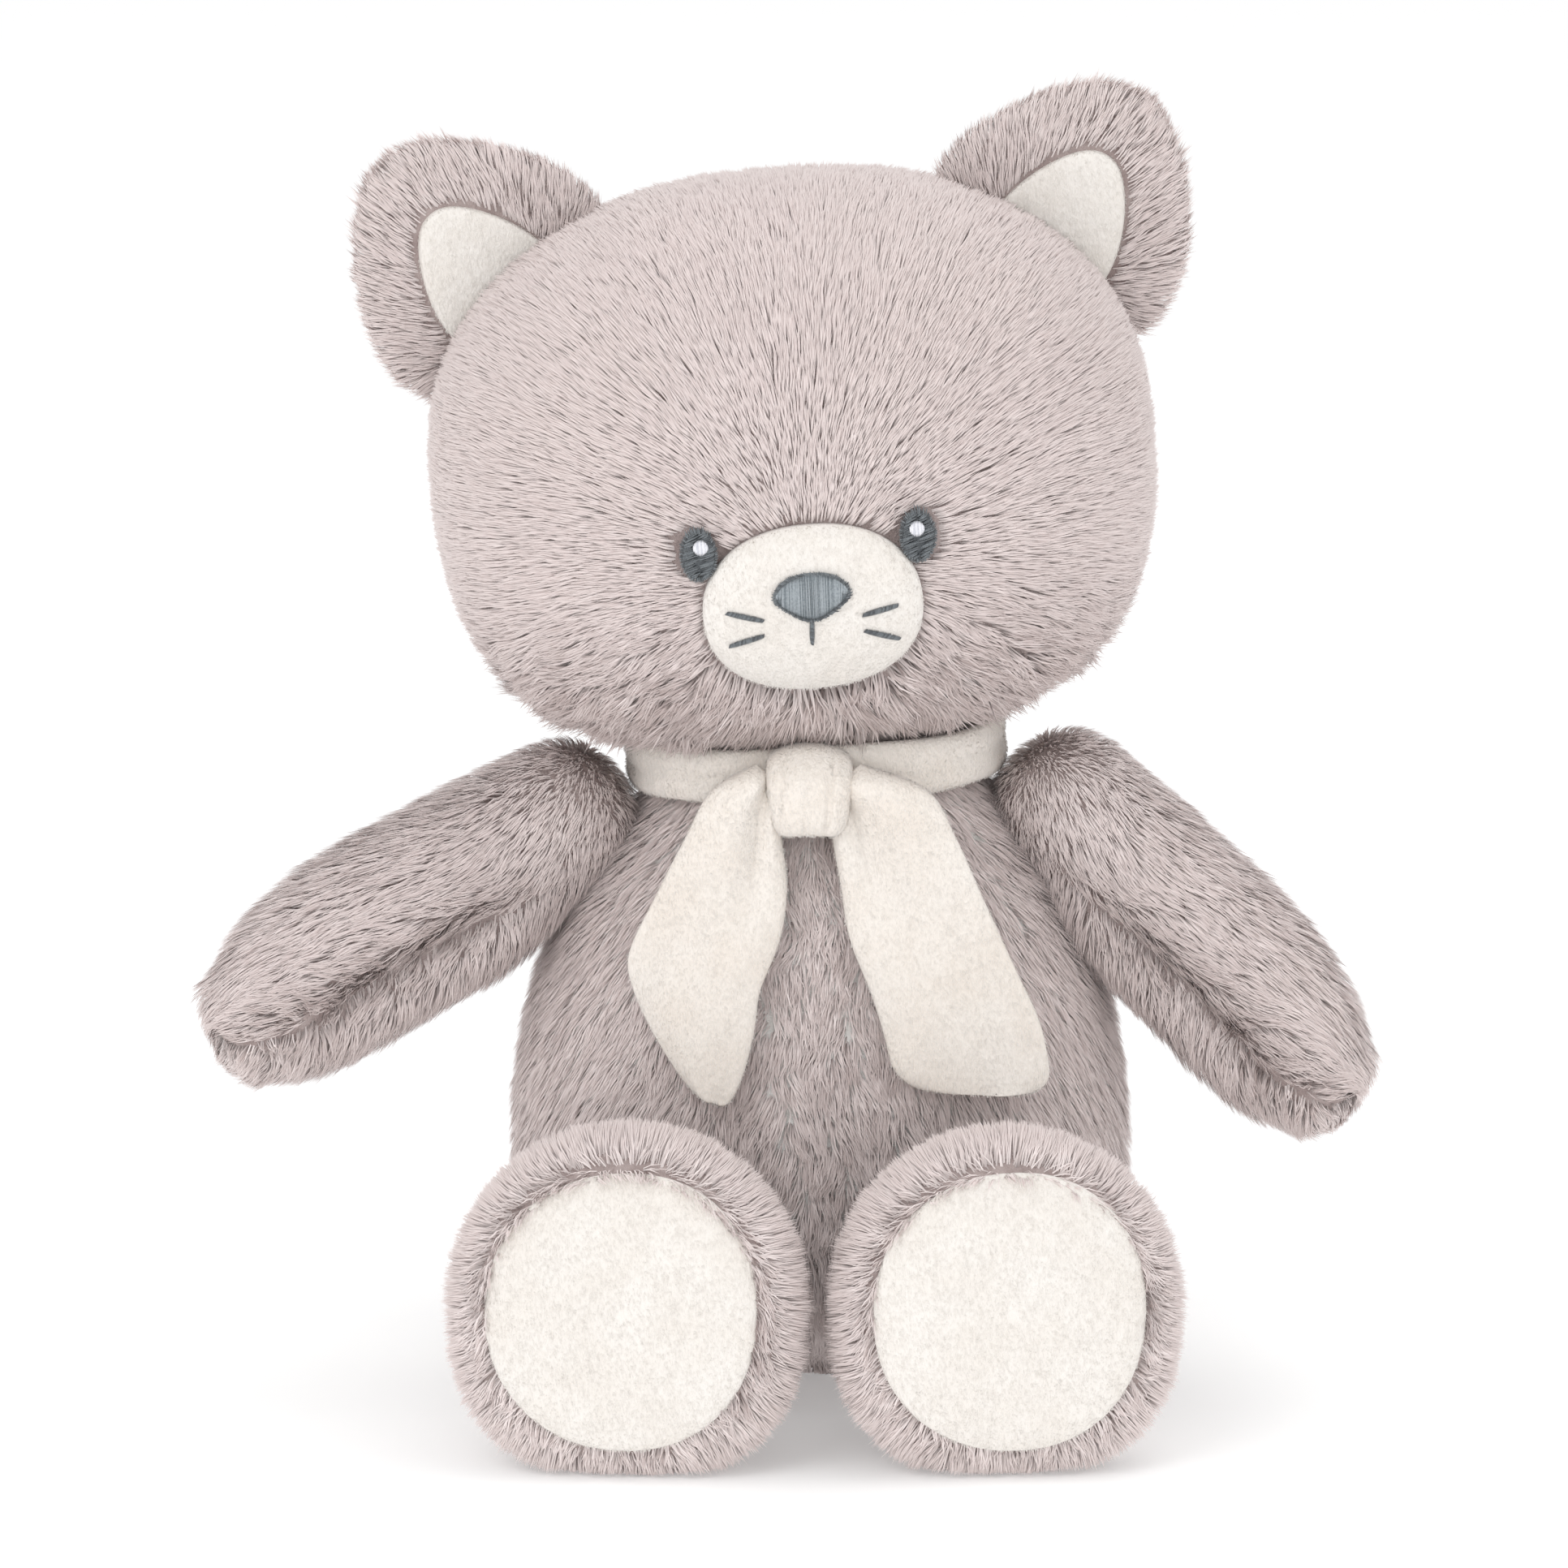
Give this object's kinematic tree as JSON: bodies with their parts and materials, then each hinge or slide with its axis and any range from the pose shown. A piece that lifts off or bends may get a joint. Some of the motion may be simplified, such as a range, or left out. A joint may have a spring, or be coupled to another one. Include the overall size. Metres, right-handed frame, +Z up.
{
  "type": "plush cat",
  "caption": "Seated soft toy cat in grey pile fabric with a cream muzzle, foot pads and ear linings, an embroidered face and a knotted scarf.",
  "frame": {"origin": "middle of the flat seat, on the surface that the toy sits on", "axes": "+Z up, the cat faces -Y, its left side is +X"},
  "size_m": [0.2706, 0.2249, 0.293],
  "materials": {
    "fur": "matte",
    "velour": "matte",
    "scarf_velour": "matte",
    "fibrefill": "matte",
    "pouch_cotton": "matte",
    "embroidery_thread": "satin",
    "highlight_thread": "satin",
    "label_tape": "satin"
  },
  "bodies": {
    "torso": {"torso_shell": "fur", "torso_stuffing": "fibrefill", "pellet_bag": "pouch_cotton", "neck_stuffing": "fibrefill", "scarf_band": "scarf_velour", "scarf_knot": "scarf_velour", "care_label": "label_tape"},
    "head": {"head_shell": "fur", "head_stuffing": "fibrefill", "muzzle_patch": "velour", "nose": "embroidery_thread", "mouth_stitch": "embroidery_thread", "right_eye": "embroidery_thread", "left_eye": "embroidery_thread", "right_eye_glint": "highlight_thread", "left_eye_glint": "highlight_thread", "right_whisker_upper": "embroidery_thread", "right_whisker_lower": "embroidery_thread", "left_whisker_upper": "embroidery_thread", "left_whisker_lower": "embroidery_thread"},
    "right_ear": {"right_ear": "fur", "right_ear_lining": "velour"},
    "left_ear": {"left_ear": "fur", "left_ear_lining": "velour"},
    "right_arm": {"right_arm_shell": "fur", "right_arm_stuffing": "fibrefill"},
    "left_arm": {"left_arm_shell": "fur", "left_arm_stuffing": "fibrefill"},
    "right_leg": {"right_leg_shell": "fur", "right_leg_stuffing": "fibrefill", "right_foot_pad": "velour"},
    "left_leg": {"left_leg_shell": "fur", "left_leg_stuffing": "fibrefill", "left_foot_pad": "velour"},
    "tail": {"tail_shell": "fur", "tail_stuffing": "fibrefill"},
    "right_scarf_tail": {"right_scarf_tail": "scarf_velour"},
    "left_scarf_tail": {"left_scarf_tail": "scarf_velour"}
  },
  "joints": [
    {"name": "neck_turn", "type": "hinge", "parent": "torso", "child": "head", "pos_m": [0, -0.001, 0.15], "axis": [0, 0, 1], "range_deg": [-30, 30], "stiffness_Nm_per_rad": 0.3},
    {"name": "right_ear_flop", "type": "hinge", "parent": "head", "child": "right_ear", "pos_m": [-0.06772, 0.00116, 0.24573], "axis": [0.7572, 0.0381, 0.652], "range_deg": [-15, 15], "stiffness_Nm_per_rad": 0.08},
    {"name": "left_ear_flop", "type": "hinge", "parent": "head", "child": "left_ear", "pos_m": [0.05174, 0.00682, 0.25555], "axis": [0.8536, 0.0381, -0.5196], "range_deg": [-15, 15], "stiffness_Nm_per_rad": 0.08},
    {"name": "right_shoulder_raise", "type": "hinge", "parent": "torso", "child": "right_arm", "pos_m": [-0.058, -0.006, 0.125], "axis": [0, 1, 0], "range_deg": [-15, 43], "stiffness_Nm_per_rad": 0.8},
    {"name": "left_shoulder_raise", "type": "hinge", "parent": "torso", "child": "left_arm", "pos_m": [0.059, -0.006, 0.128], "axis": [0, -1, 0], "range_deg": [0, 58], "stiffness_Nm_per_rad": 0.8},
    {"name": "right_hip_lift", "type": "hinge", "parent": "torso", "child": "right_leg", "pos_m": [-0.038, -0.061, 0.035], "axis": [-1, 0, 0], "range_deg": [0, 22]},
    {"name": "left_hip_lift", "type": "hinge", "parent": "torso", "child": "left_leg", "pos_m": [0.04, -0.061, 0.035], "axis": [-1, 0, 0], "range_deg": [0, 22]},
    {"name": "tail_wag", "type": "hinge", "parent": "torso", "child": "tail", "pos_m": [0.002, 0.057, 0.0155], "axis": [0, 0, 1], "range_deg": [-20, 20], "stiffness_Nm_per_rad": 0.05},
    {"name": "right_scarf_swing", "type": "hinge", "parent": "torso", "child": "right_scarf_tail", "pos_m": [-0.009, -0.043, 0.132], "axis": [-1, 0, 0], "range_deg": [0, 40]},
    {"name": "left_scarf_swing", "type": "hinge", "parent": "torso", "child": "left_scarf_tail", "pos_m": [0.011, -0.043, 0.132], "axis": [-1, 0, 0], "range_deg": [0, 40]}
  ]
}
